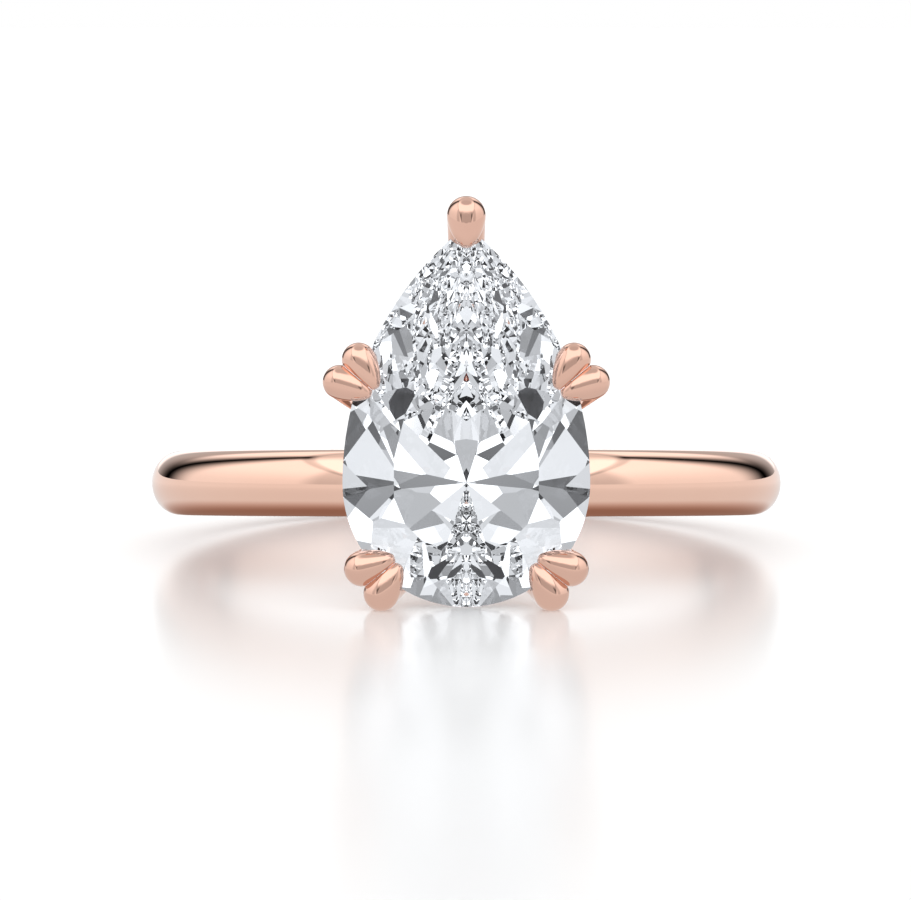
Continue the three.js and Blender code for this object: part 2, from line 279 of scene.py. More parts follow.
class Signal:
    """A socket that carries a number, whose arithmetic adds Math nodes."""

    def __init__(self, graph: "Graph", socket: bpy.types.NodeSocket) -> None:
        """Wraps a socket of a graph."""
        self.graph = graph
        self.socket = socket

    def __add__(self, other: "Term") -> "Signal":
        """The sum."""
        return self.graph.math("ADD", self, other)

    __radd__ = __add__

    def __sub__(self, other: "Term") -> "Signal":
        """The difference."""
        return self.graph.math("SUBTRACT", self, other)

    def __rsub__(self, other: "Term") -> "Signal":
        """The reflected difference."""
        return self.graph.math("SUBTRACT", other, self)

    def __mul__(self, other: "Term") -> "Signal":
        """The product."""
        return self.graph.math("MULTIPLY", self, other)

    __rmul__ = __mul__

    def __abs__(self) -> "Signal":
        """The size without the sign."""
        return self.graph.math("ABSOLUTE", self)

    def between(self, low: Number, high: Number) -> "Signal":
        """A smooth step.

        Args:
            low: The value at which the step is 0.
            high: The value at which it is 1, which may be the lower of the two.

        Returns:
            The step, clamped to 0 and 1.
        """
        falling = high < low
        ends = (high, low) if falling else (low, high)
        step = self.graph.node(
            "ShaderNodeMapRange",
            {"interpolation_type": "SMOOTHSTEP"},
            {"Value": self, "From Min": ends[0], "From Max": ends[1]},
        )
        rise = Signal(self.graph, step.outputs["Result"])
        return 1 - rise if falling else rise


Term = Union[Signal, Number]
Value = Union[Signal, bpy.types.NodeSocket, Number, Sequence[float]]


class Graph:
    """The node tree of a material or of the world."""

    def __init__(self, tree: bpy.types.NodeTree) -> None:
        """Empties a node tree and takes it over."""
        tree.nodes.clear()
        self.tree = tree

    def node(
        self, kind: str, settings: Optional[Dict] = None, values: Optional[Dict] = None
    ) -> bpy.types.Node:
        """Adds a node.

        Args:
            kind: The type of the node.
            settings: Its settings, which are set first; "stops" are the stops of a ramp.
            values: The value or link of each of its sockets, by name or number.

        Returns:
            The node.
        """
        node = self.tree.nodes.new(kind)
        for setting, value in (settings or {}).items():
            if setting == "stops":
                self._set_stops(node.color_ramp, value)
            else:
                setattr(node, setting, value)
        for name, value in (values or {}).items():
            socket = node.inputs[name]
            if isinstance(value, Signal):
                self.tree.links.new(value.socket, socket)
            elif isinstance(value, bpy.types.NodeSocket):
                self.tree.links.new(value, socket)
            else:
                socket.default_value = value
        return node

    def _set_stops(self, ramp: bpy.types.ColorRamp, stops: Sequence[Tuple[float, Colour]]) -> None:
        """Gives a ramp its stops."""
        while len(ramp.elements) > 1:
            ramp.elements.remove(ramp.elements[-1])
        ramp.elements[0].position, ramp.elements[0].color = stops[0]
        for place, colour in stops[1:]:
            ramp.elements.new(place).color = colour

    def math(self, operation: str, *terms: Term) -> Signal:
        """Adds a Math node of one operation on the terms."""
        node = self.node("ShaderNodeMath", {"operation": operation}, dict(enumerate(terms)))
        return Signal(self, node.outputs[0])

    def signal(self, node: bpy.types.Node, output: str) -> Signal:
        """Wraps an output of a node."""
        return Signal(self, node.outputs[output])

    def blend(self, share: Value, first: Value, second: Value) -> bpy.types.NodeSocket:
        """Mixes two colours, with the share of the second one."""
        mix = self.node(
            "ShaderNodeMix", {"data_type": "RGBA"}, {"Factor": share, 6: first, 7: second}
        )
        return mix.outputs[2]

    def mix(
        self, share: bpy.types.NodeSocket, first: bpy.types.Node, second: bpy.types.Node
    ) -> bpy.types.Node:
        """Mixes two shaders, with the share of the second one."""
        ends = {0: share, 1: first.outputs[0], 2: second.outputs[0]}
        return self.node("ShaderNodeMixShader", {}, ends)

    def position(self) -> bpy.types.NodeSocket:
        """The place on a piece, in metres."""
        return self.node("ShaderNodeTexCoord").outputs["Object"]

    def noise(self, scale: float, detail: float, stretch: Triple = (1, 1, 1)) -> Signal:
        """Noise over a piece.

        Args:
            scale: How many features there are in a metre.
            detail: How many octaves the noise has.
            stretch: The scale along each axis of the frame.

        Returns:
            The noise, about 0 to 1.
        """
        mapping = self.node("ShaderNodeMapping", {}, {"Vector": self.position(), "Scale": stretch})
        noise = self.node(
            "ShaderNodeTexNoise",
            {},
            {"Vector": mapping.outputs[0], "Scale": scale, "Detail": detail},
        )
        return Signal(self, noise.outputs["Fac"])


def new_material(name: str) -> Tuple[bpy.types.Material, Graph]:
    """Starts a material of nodes."""
    material = bpy.data.materials.new(name)
    material.use_nodes = True
    return material, Graph(material.node_tree)


def surface(graph: Graph, shader: bpy.types.Node) -> None:
    """Ends a material in its shader."""
    graph.node("ShaderNodeOutputMaterial", {}, {"Surface": shader.outputs[0]})


# ---------------- finishes


@dataclass(frozen=True)
class RoseGold:
    """Polished rose gold: a mirror with cloudy tone, fine buffing lines and a faint ripple."""

    name: str
    tone: Colour
    deep_tone: Colour
    roughness: float = 0.03
    haze: float = 0.035
    cloud_scale: float = 260.0
    cloud_detail: float = 3.0
    cloud_span: Span = (0.35, 0.7)
    cloud_share: float = 0.5
    buff_scale: float = 2600.0
    buff_detail: float = 4.0
    buff_stretch: Triple = (0.12, 1.0, 1.0)
    buff_span: Span = (0.45, 0.8)
    ripple: float = 0.02
    ripple_height: float = 0.00001

    def make(self) -> bpy.types.Material:
        """Builds the material."""
        material, graph = new_material(self.name)
        cloud = graph.noise(self.cloud_scale, self.cloud_detail).between(*self.cloud_span)
        buff = graph.noise(self.buff_scale, self.buff_detail, self.buff_stretch)
        tone = graph.blend(cloud * self.cloud_share, self.tone, self.deep_tone)
        roughness = self.roughness + buff.between(*self.buff_span) * self.haze
        bump = graph.node(
            "ShaderNodeBump",
            {},
            {"Strength": self.ripple, "Distance": self.ripple_height, "Height": buff},
        )
        shader = graph.node(
            "ShaderNodeBsdfPrincipled",
            {},
            {
                "Base Color": tone,
                "Metallic": 1.0,
                "Roughness": roughness,
                "Normal": bump.outputs["Normal"],
            },
        )
        surface(graph, shader)
        return material


@dataclass(frozen=True)
class Diamond:
    """A colourless diamond with the faintest cloud of tone and crisp polished facets."""

    name: str
    water: Colour
    cloud: Colour
    refraction: float = 2.417
    surface_gloss: Colour = (0.15, 0.15, 0.16, 1.0)
    polish: float = 0.0
    cloud_scale: float = 420.0
    cloud_detail: float = 2.0
    cloud_span: Span = (0.3, 0.7)

    def make(self) -> bpy.types.Material:
        """Builds the material."""
        material, graph = new_material(self.name)
        cloud = graph.noise(self.cloud_scale, self.cloud_detail).between(*self.cloud_span)
        shader = graph.node(
            "ShaderNodeBsdfPrincipled",
            {},
            {
                "Base Color": graph.blend(cloud, self.water, self.cloud),
                "Roughness": self.polish,
                "IOR": self.refraction,
                "Specular Tint": self.surface_gloss,
                "Transmission Weight": 1.0,
            },
        )
        surface(graph, shader)
        return material


@dataclass(frozen=True)
class GlossyTable:
    """The white table under the ring, which mirrors it softly.

    Every ray but the camera's sees it not lit but as a glowing sheet with painted shade: darkest
    and coppery under the band, where the ring shades it, and brightening outwards, so what the
    gold and the stone mirror of it is painted.
    """

    name: str = "white_table"
    tone: Colour = (1.0, 1.0, 1.0, 1.0)
    # painted shade: the coppery tint of the glow under the band stands in for gold light bounced
    # into the table's shade
    shade_tone: Colour = (1.0, 0.62, 0.48, 1.0)
    roughness: float = 0.2
    refraction: float = 1.29
    centre_y: float = 0.0
    # reach and brightness of the painted glow: painted shade inside shade_radius, brightening to
    # near_level and far_level
    shade_radius: float = 0.0094
    near_radius: float = 0.0122
    far_radius: float = 0.032
    shade_level: float = 0.3
    near_level: float = 0.8
    far_level: float = 0.92

    def make(self) -> bpy.types.Material:
        """Builds the material."""
        material, graph = new_material(self.name)
        parts = graph.node("ShaderNodeSeparateXYZ", {}, {0: graph.position()})
        x, y = graph.signal(parts, "X"), graph.signal(parts, "Y") - self.centre_y
        distance = graph.math("SQRT", x * x + y * y)
        near = distance.between(self.shade_radius, self.near_radius)
        far = distance.between(self.near_radius, self.far_radius)
        level = self.shade_level + near * (self.near_level - self.shade_level)
        level = level + far * (self.far_level - self.near_level)
        tint = graph.blend(near, self.shade_tone, self.tone)
        # painted glow with painted shade: every ray but the camera's sees this emission in place
        # of the lit table
        painted_glow = graph.node("ShaderNodeEmission", {}, {"Color": tint, "Strength": level})
        matt = graph.node("ShaderNodeBsdfDiffuse", {}, {"Color": self.tone})
        gloss = graph.node(
            "ShaderNodeBsdfAnisotropic", {}, {"Color": self.tone, "Roughness": self.roughness}
        )
        fresnel = graph.node("ShaderNodeFresnel", {}, {"IOR": self.refraction})
        seen = graph.mix(fresnel.outputs[0], matt, gloss)
        path = graph.node("ShaderNodeLightPath")
        surface(graph, graph.mix(path.outputs["Is Camera Ray"], painted_glow, seen))
        return material


@dataclass
class SubAssembly:
    """A part of the ring that is made on the bench in one finish."""

    bench: Bench
    finish: bpy.types.Material

    def dress(
        self, piece: bpy.types.Object, slot: str, node: str, smooth_angle: Number = 0
    ) -> bpy.types.Object:
        """Lays a piece down, and gives it its finish and its place in the frame.

        Args:
            piece: The piece on the bench.
            slot: The record's slot of the finish.
            node: The CAD node that the piece stands for.
            smooth_angle: The sharpest edge that is shaded smooth, in degrees.

        Returns:
            The finished piece.
        """
        if smooth_angle:
            take_up(piece)
            bpy.ops.object.shade_smooth_by_angle(angle=math.radians(smooth_angle))
        piece.data.transform(self.bench.placement)
        piece.data.materials.clear()
        piece.data.materials.append(self.finish)
        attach(piece, BODY)
        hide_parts(node)
        piece.visible_transmission = slot == "diamond"
        LOG.info("%s: %d faces", piece.name, len(piece.data.polygons))
        return piece


# ---------------- outline of the stone


@dataclass(frozen=True)
class PearOutline:
    """The outline of a pear: a half circle and two wings that meet in a point."""

    width: float = 7.25
    length: float = 11.15

    @property
    def round_radius(self) -> float:
        """The radius of the half circle."""
        return self.width / 2

    @property
    def point_length(self) -> float:
        """How far the point is from the middle of the half circle."""
        return self.length - self.round_radius

    @property
    def wing_radius(self) -> float:
        """The radius of a wing."""
        return (self.point_length**2 + self.round_radius**2) / self.width

    @property
    def wing_centre(self) -> float:
        """How far a wing's centre is from the middle line."""
        return self.wing_radius - self.round_radius

    def radius(self, bearing: float, outset: float = 0.0) -> float:
        """How far the outline is from the middle of the half circle.

        Args:
            bearing: The direction, in radians from +X.
            outset: How far the outline is moved out.

        Returns:
            The distance, in millimetres.
        """
        if math.sin(bearing) <= 0:
            return self.round_radius + outset
        along = self.wing_centre * abs(math.cos(bearing))
        reach = (self.wing_radius + outset) ** 2 - self.wing_centre**2
        return math.sqrt(along**2 + reach) - along

    def touching(self, angle: float) -> Vector:
        """The point of the outline that faces a direction."""
        if math.sin(angle) <= 0:
            return facing(angle) * self.round_radius
        side = -1 if math.cos(angle) < 0 else 1
        furthest = math.asin(self.point_length / self.wing_radius)
        turn = min(math.atan2(math.sin(angle), abs(math.cos(angle))), furthest)
        x = self.wing_radius * math.cos(turn) - self.wing_centre
        return Vector((side * x, self.wing_radius * math.sin(turn), 0))


def facing(angle: float) -> Vector:
    """A direction in the plane of the stone's face."""
    return Vector((math.cos(angle), math.sin(angle), 0))


# ---------------- shank


@dataclass
class Shank(SubAssembly):
    """The plain band: a domed outside and a flatter, comfort-fit inside."""

    inside_radius: float = 8.45
    lining: float = 0.8
    dome: float = 0.9
    width: float = 2.05
    lining_flatness: float = 0.6
    section_sides: int = 64
    steps: int = 240
    peg_hole: float = 1.06
    drill_reach: float = 2.0
    drill_sides: int = 48
    smooth_angle: float = 35

    @property
    def outside_radius(self) -> float:
        """The radius over the dome."""
        return self.inside_radius + self.lining + self.dome

    def section_point(self, angle: float, allowance: float = 0.0) -> Tuple[float, float]:
        """A point of the section.

        Args:
            angle: Where it is round the section, in radians from the crown of the dome.
            allowance: How far the section is grown.

        Returns:
            How far the point is out from the finger axis, and its place across the band.
        """
        out, across = math.cos(angle), math.sin(angle)
        flatness = self.lining_flatness if out < 0 else 1.0
        depth = (self.lining if out < 0 else self.dome) + allowance
        radial = math.copysign(abs(out) ** flatness * depth, out)
        axial = math.copysign(abs(across) ** flatness * (self.width / 2 + allowance), across)
        return self.inside_radius + self.lining + radial, axial

    def spin_up(self, name: str, allowance: float = 0.0) -> bpy.types.Object:
        """Spins the section, grown by an allowance, round the finger axis."""
        deselect_all()
        bpy.ops.mesh.primitive_circle_add(vertices=self.section_sides, radius=1.0)
        band = bpy.context.object
        band.name = name
        for vertex in band.data.vertices:
            angle = math.atan2(vertex.co.y, vertex.co.x)
            radial, axial = self.section_point(angle, allowance)
            vertex.co = (radial, axial, 0)
        with editing(band):
            bpy.ops.mesh.spin(
                steps=self.steps, angle=2 * math.pi, center=(0, 0, 0), axis=(0, 1, 0)
            )
        weld(band)
        return band

    def build(self) -> bpy.types.Object:
        """Builds and dresses the band."""
        band = self.spin_up("band")
        middle = self.inside_radius + (self.lining + self.dome) / 2
        ends = (middle - self.drill_reach, middle + self.drill_reach)
        drill = draw_pin("drill", [(self.peg_hole / 2, end) for end in ends], self.drill_sides)
        carve(band, drill)
        discard(drill)
        return self.dress(band, "band_gold", "shank", self.smooth_angle)


# ---------------- stone


@dataclass
class PearBrilliant(SubAssembly):
    """The stone: a pear blank with its facets cut one by one, at bearings in degrees."""

    outline: PearOutline
    girdle_height: float = 14.3
    pavilion_depth: float = 3.1
    girdle_thickness: float = 0.2
    crown_height: float = 1.1
    table_share: float = 0.58
    main_facets: Tuple[float, ...] = (-90, -45, 0, 28, 52, 90)
    culet_mains: Tuple[float, ...] = (-90, -55, -22, 8, 30)
    wing_mains: Tuple[float, ...] = (42,)
    wing_slope: float = 40.0
    point_slope: float = 36.0
    girdle_facets: Tuple[float, ...] = (-80, -66, -47, -31, -13, 0, 16, 24, 37, 48)
    girdle_slope: float = 41.7
    keel_facets: Tuple[float, ...] = (24, 36)
    keel_share: float = 0.55
    keel_slope: float = 36.5
    half_shares: Tuple[float, ...] = (0.27, 0.73)
    star_share: float = 0.5
    crown_half_steepening: float = 6.0
    star_flattening: float = 11.0
    girdle_sides: int = 128

    def both_sides(self, right: Sequence[float]) -> List[float]:
        """Directions in degrees on the right of the stone, with their twins, in radians."""
        found = []
        for degrees in right:
            angle = math.radians(degrees)
            found.append(angle)
            if abs(degrees) != 90:
                found.append(math.pi - angle)
        return found

    def mains(self) -> List[float]:
        """The directions of the main facets, in radians, in order round the stone."""
        right = [math.radians(degrees) for degrees in self.main_facets]
        return right + [math.pi - angle for angle in reversed(right[1:-1])]

    def between_mains(self, shares: Sequence[float]) -> List[float]:
        """The directions part of the way from each main facet to the next."""
        mains = self.mains()
        found = []
        for start, after in zip(mains, mains[1:] + mains[:1]):
            end = after + 2 * math.pi if after < start else after
            found += [start + share * (end - start) for share in shares]
        return found

    def blank(self, name: str, allowance: float) -> bpy.types.Object:
        """Saws the pear-shaped blank, grown by an allowance, with its girdle at height 0."""
        deselect_all()
        bpy.ops.mesh.primitive_circle_add(
            vertices=self.girdle_sides, radius=1.0, fill_type="NGON"
        )
        blank = bpy.context.object
        blank.name = name
        low = -self.pavilion_depth - self.girdle_thickness / 2 - allowance
        half_side = math.pi / self.girdle_sides
        for vertex in blank.data.vertices:
            bearing = math.atan2(vertex.co.y, vertex.co.x) + half_side
            reach = facing(bearing) * self.outline.radius(bearing, allowance)
            vertex.co = (reach.x, reach.y, low)
        height = self.pavilion_depth + self.girdle_thickness + self.crown_height + 2 * allowance
        with editing(blank):
            bpy.ops.mesh.extrude_region_move(TRANSFORM_OT_translate={"value": (0, 0, height)})
            face_outward()
        return blank

    def rim(self, angle: float) -> float:
        """How far the outline reaches in a direction."""
        return self.outline.touching(angle).dot(facing(angle))

    def pavilion_slope(self, angle: float) -> float:
        """The slope of the facet that runs from the girdle to the culet."""
        return math.atan2(self.pavilion_depth, self.rim(angle))

    def crown_slope(self, angle: float) -> float:
        """The slope of the facet that runs from the girdle to the table."""
        return math.atan2(self.crown_height, self.rim(angle) * (1 - self.table_share))

    def cut(self, name: str, allowance: float = 0.0) -> bpy.types.Object:
        """Cuts the stone on the bench, with every face moved out by an allowance."""
        stone = self.blank(name, allowance)

        def facet(angle: float, slope: float, point: Vector, up: int) -> None:
            """Cuts one facet: its facing, its slope, a point on it, and +1 for the crown."""
            normal = facing(angle) * math.sin(slope) + Vector((0, 0, up * math.cos(slope)))
            cut_beyond(stone, point + normal * allowance, normal)

        half_girdle = Vector((0, 0, self.girdle_thickness / 2))
        culet = -half_girdle - Vector((0, 0, self.pavilion_depth))
        for angle in self.both_sides(self.culet_mains):
            facet(angle, self.pavilion_slope(angle), culet, -1)
        for angle in self.both_sides(self.wing_mains):
            rim = self.outline.touching(angle) - half_girdle
            facet(angle, math.radians(self.wing_slope), rim, -1)
        tip = Vector((0, self.outline.point_length, 0)) - half_girdle
        facet(math.pi / 2, math.radians(self.point_slope), tip, -1)
        for angle in self.both_sides(self.girdle_facets):
            rim = self.outline.touching(angle) - half_girdle
            facet(angle, math.radians(self.girdle_slope), rim, -1)
        for angle in self.both_sides(self.keel_facets):
            reach = self.rim(angle)
            drop = reach * (1 - self.keel_share) * math.tan(math.radians(self.wing_slope))
            keel = facing(angle) * (reach * self.keel_share) - half_girdle - Vector((0, 0, drop))
            facet(angle, math.radians(self.keel_slope), keel, -1)
        for angle in self.mains():
            facet(angle, self.crown_slope(angle), self.outline.touching(angle) + half_girdle, 1)
        for angle in self.between_mains(self.half_shares):
            rim = self.outline.touching(angle)
            upper = self.crown_slope(angle) + math.radians(self.crown_half_steepening)
            facet(angle, upper, rim + half_girdle, 1)
        for angle in self.between_mains((self.star_share,)):
            edge = facing(angle) * (self.rim(angle) * self.table_share)
            edge += half_girdle + Vector((0, 0, self.crown_height))
            slope = self.crown_slope(angle) - math.radians(self.star_flattening)
            facet(angle, slope, edge, 1)
        stone.data.transform(Matrix.Translation((0, 0, self.girdle_height)))
        return stone

    def build(self) -> bpy.types.Object:
        """Builds and dresses the stone."""
        stone = self.cut("pear_brilliant")
        weld(stone)
        return self.dress(stone, "diamond", "diamond")


# ---------------- basket


@dataclass(frozen=True)
class BasketLine:
    """The swelling line of the basket, from its foot on the collet to its mouth."""

    foot_radius: float = 1.15
    foot_height: float = 10.67
    mouth_height: float = 14.72
    shoulder: Tuple[float, float] = (0.16, 0.2)
    hip: Tuple[float, float] = (0.8, 0.58)
    halvings: int = 30

    def at(self, share: float, foot: float, mouth: float) -> Vector:
        """A point of the line, in its own upright plane.

        Args:
            share: The share of the way from the foot to the mouth.
            foot: How far out the foot is.
            mouth: How far out the mouth is.

        Returns:
            The point, with X out and Z up.
        """
        rise = self.mouth_height - self.foot_height
        points = [(0, 0), self.shoulder, self.hip, (1, 1)]
        left = 1 - share
        weights = [left**3, 3 * share * left**2, 3 * share**2 * left, share**3]
        out = sum(weight * point[0] for weight, point in zip(weights, points))
        up = sum(weight * point[1] for weight, point in zip(weights, points))
        return Vector((foot + out * (mouth - foot), 0, self.foot_height + up * rise))

    def share_at(self, height: float) -> float:
        """The share of the line at which it reaches a height."""
        low, high = 0.0, 1.0
        for _ in range(self.halvings):
            share = (low + high) / 2
            if self.at(share, 0, 1).z < height:
                low = share
            else:
                high = share
        return low


@dataclass
class Rail(SubAssembly):
    """A ring of round wire inside the basket."""

    outline: PearOutline
    line: BasketLine
    name: str
    node: str
    height: float
    holds_stone: bool
    diameter: float = 0.56
    inset: float = 0.34
    mouth_outset: float = 0.35
    steps: int = 144
    sides: int = 28
    glance: float = 0.01
    smooth_angle: float = 35

    def centre(self, bearing: float, share: float) -> Vector:
        """The middle of the wire at a bearing."""
        mouth = self.outline.radius(bearing, self.mouth_outset)
        point = self.line.at(share, self.line.foot_radius, mouth)
        return facing(bearing) * point.x + Vector((0, 0, point.z))

    def build(self, seat: bpy.types.Object) -> bpy.types.Object:
        """Builds and dresses the rail, cut to the seat if it holds the stone."""
        share = self.line.share_at(self.height)
        stations = []
        turned = 0.0
        for index in range(self.steps + 1):
            bearing = 2 * math.pi * index / self.steps
            ahead, behind = bearing + self.glance, bearing - self.glance
            run = self.centre(ahead, share) - self.centre(behind, share)
            heading = math.atan2(run.y, run.x)
            while heading < turned - math.pi:
                heading += 2 * math.pi
            turned = heading
            outward = Vector((run.y, -run.x, 0)).normalized()
            centre = self.centre(bearing, share) - outward * self.inset
            stations.append(Station(centre, heading, self.diameter / 2))
        rail = draw_wire(self.name, stations, self.sides, TurnAxis.UPRIGHT)
        if self.holds_stone:
            carve(rail, seat)
        return self.dress(rail, "setting_gold", self.node, self.smooth_angle)


@dataclass
class PegCollet(SubAssembly):
    """The cup on a peg that joins the basket to the shank."""

    shank: Shank
    height: float = 0.8
    diameter: float = 3.3
    foot_diameter: float = 1.9
    shoulder_width: float = 0.92
    shoulder_drop: float = 0.3
    lip_drop: float = 0.12
    sides: int = 96
    peg_diameter: float = 1.0
    peg_end_gap: float = 0.05
    peg_top_drop: float = 0.1
    peg_sides: int = 48
    solder_gap: float = 0.03
    rounding: float = 0.07
    rounding_steps: int = 4
    rounding_angle: float = 30
    smooth_angle: float = 40

    def build(self) -> bpy.types.Object:
        """Builds and dresses the collet with its peg."""
        outside = self.shank.outside_radius
        top = outside + self.height
        foot, mouth = self.foot_diameter / 2, self.diameter / 2
        profile = [
            (foot, outside - self.shank.dome),
            (foot, outside),
            (self.shoulder_width * mouth, top - self.shoulder_drop * self.height),
            (mouth, top - self.lip_drop * self.height),
            (mouth, top),
        ]
        cup = draw_pin("collet", profile, self.sides)
        saddle = self.shank.spin_up("saddle", self.solder_gap)
        carve(cup, saddle)
        discard(saddle)
        peg_foot = self.shank.inside_radius + self.peg_end_gap
        ends = (peg_foot, top - self.peg_top_drop * self.height)
        peg = draw_pin("peg", [(self.peg_diameter / 2, end) for end in ends], self.peg_sides)
        finish_modifier(cup, "BOOLEAN", operation="UNION", solver="EXACT", object=peg)
        discard(peg)
        finish_modifier(
            cup,
            "BEVEL",
            width=self.rounding,
            segments=self.rounding_steps,
            limit_method="ANGLE",
            angle_limit=math.radians(self.rounding_angle),
        )
        return self.dress(cup, "setting_gold", "peg_collet", self.smooth_angle)


@dataclass(frozen=True)
class Teardrop:
    """The shape of a claw's tip: a ball that runs out to a blunt point."""

    fullness: float = 1.7
    bluntness: float = 0.65
    steps: int = 18
    sides: int = 48

    def draw(self, head: Vector, tip: Vector, radius: float) -> bpy.types.Object:
        """Draws the tip.

        Args:
            head: The centre of the ball.
            tip: The end of the point.
            radius: The radius of the ball.

        Returns:
            The closed teardrop.
        """
        length = (tip - head).length
        sizes = []
        for index in range(1, self.steps + 1):
            angle = math.pi / 2 * index / self.steps
            sizes.append((radius * math.sin(angle), -radius * math.cos(angle)))
        for index in range(1, self.steps):
            share = index / self.steps
            width = (1 - share**self.fullness) ** self.bluntness
            sizes.append((radius * width, length * share))
        stations = [Station(Vector((0, 0, along)), 0.0, size) for size, along in sizes]
        drop = draw_wire("teardrop", stations, self.sides)
        turn = Vector((0, 0, 1)).rotation_difference(tip - head).to_matrix().to_4x4()
        drop.data.transform(Matrix.Translation(head) @ turn)
        return drop


@dataclass(frozen=True)
class ClawPair:
    """A double claw on the right of the stone."""

    name: str
    bearing: float
    aim: float
    outset: float
    head_diameter: float
    spread: float
    foot_diameter: float = 0.6
    foot_spread: float = 0.2
    tip_spread: float = 0.1


@dataclass
class Claws(SubAssembly):
    """The nine claws: one over the point and two double claws on each side."""

    outline: PearOutline
    line: BasketLine
    pairs: Tuple[ClawPair, ...]
    point_head_diameter: float = 1.14
    point_foot_diameter: float = 0.7
    point_outset: float = 0.29
    reach: float = 1.0
    tip_height: float = 14.95
    collet_top: float = 10.95
    solder_gap: float = 0.03
    split: float = 0.012
    teardrop: Teardrop = field(default_factory=Teardrop)
    wire_sides: int = 48
    wire_steps: int = 28
    glance: float = 0.002
    grain: float = 0.024
    polishing: int = 6
    smooth_angle: float = 40

    def cast(
        self, name: str, foot: Vector, head: Vector, tip: Vector, sizes: Span
    ) -> bpy.types.Object:
        """Casts one claw in one skin.

        Args:
            name: The name of the new object.
            foot: Where the wire leaves the collet, in the plane of the stone's face.
            head: The middle of the claw's ball, with its height.
            tip: The end of the point, with its height.
            sizes: The diameters of the foot and of the head.

        Returns:
            The claw, before it is seated.
        """
        run = Vector((head.x - foot.x, head.y - foot.y, 0))
        foot_radius, head_radius = sizes[0] / 2, sizes[1] / 2
        stations = []
        for index in range(self.wire_steps + 1):
            share = index / self.wire_steps
            ahead = self.line.at(min(share + self.glance, 1), 0, run.length)
            behind = self.line.at(max(share - self.glance, 0), 0, run.length)
            heading = math.atan2(ahead.x - behind.x, ahead.z - behind.z)
            radius = foot_radius + share * (head_radius - foot_radius)
            stations.append(Station(self.line.at(share, 0, run.length), heading, radius))
        wire = draw_wire(name, stations, self.wire_sides)
        turn = Matrix.Rotation(math.atan2(run.y, run.x), 4, "Z")
        wire.data.transform(Matrix.Translation((foot.x, foot.y, 0)) @ turn)
        claw = join([wire, self.teardrop.draw(head, tip, head_radius)])
        melt_together(claw, self.grain, self.polishing)
        return claw

    def seat_on(self, claw: bpy.types.Object, seat: bpy.types.Object) -> None:
        """Cuts a claw to the stone and to the top of the collet."""
        carve(claw, seat)
        cut_beyond(claw, Vector((0, 0, self.collet_top + self.solder_gap)), Vector((0, 0, -1)))

    def build_point(self, seat: bpy.types.Object) -> None:
        """Builds and dresses the single claw over the point."""
        head_reach = self.outline.point_length + self.point_outset
        claw = self.cast(
            "claw_point",
            Vector((0, self.line.foot_radius, 0)),
            Vector((0, head_reach, self.line.mouth_height)),
            Vector((0, head_reach - self.reach, self.tip_height)),
            (self.point_foot_diameter, self.point_head_diameter),
        )
        self.seat_on(claw, seat)
        self.dress(claw, "setting_gold", "point_claw", self.smooth_angle)

    def build_wire(self, pair: ClawPair, side: int, letter: str, seat: bpy.types.Object) -> None:
        """Builds and dresses one wire of a double claw, and its twin on the left.

        Args:
            pair: The double claw.
            side: +1 for the wire nearer the point of the stone, -1 for the other.
            letter: The letter of the wire in its name.
            seat: The stone, grown by its clearance.
        """
        bearing, aim = math.radians(pair.bearing), math.radians(pair.aim)
        inward, across = -facing(aim), facing(aim + math.pi / 2)
        middle = facing(bearing) * self.outline.radius(bearing, pair.outset)
        beyond = math.sqrt(self.line.foot_radius**2 - middle.dot(across) ** 2)
        foot = middle + inward * (middle.dot(facing(aim)) - beyond)
        foot += across * (side * pair.foot_spread)
        head = middle + across * (side * pair.spread)
        head.z = self.line.mouth_height
        tip = middle + inward * self.reach + across * (side * pair.tip_spread)
        tip.z = self.tip_height
        name = f"claw_{pair.name}_right_{letter}"
        claw = self.cast(name, foot, head, tip, (pair.foot_diameter, pair.head_diameter))
        cut_beyond(claw, middle + across * (side * self.split / 2), across * -side)
        self.seat_on(claw, seat)
        twin = duplicate(claw, f"claw_{pair.name}_left_{letter}")
        mirror_over(twin)
        for wire, hand in ((claw, "right"), (twin, "left")):
            node = f"{pair.name}_{hand}_claw_{letter}"
            self.dress(wire, "setting_gold", node, self.smooth_angle)

    def build(self, seat: bpy.types.Object) -> None:
        """Builds all the claws round a seat."""
        self.build_point(seat)
        for pair in self.pairs:
            self.build_wire(pair, 1, "a", seat)
            self.build_wire(pair, -1, "b", seat)


# ---------------- studio


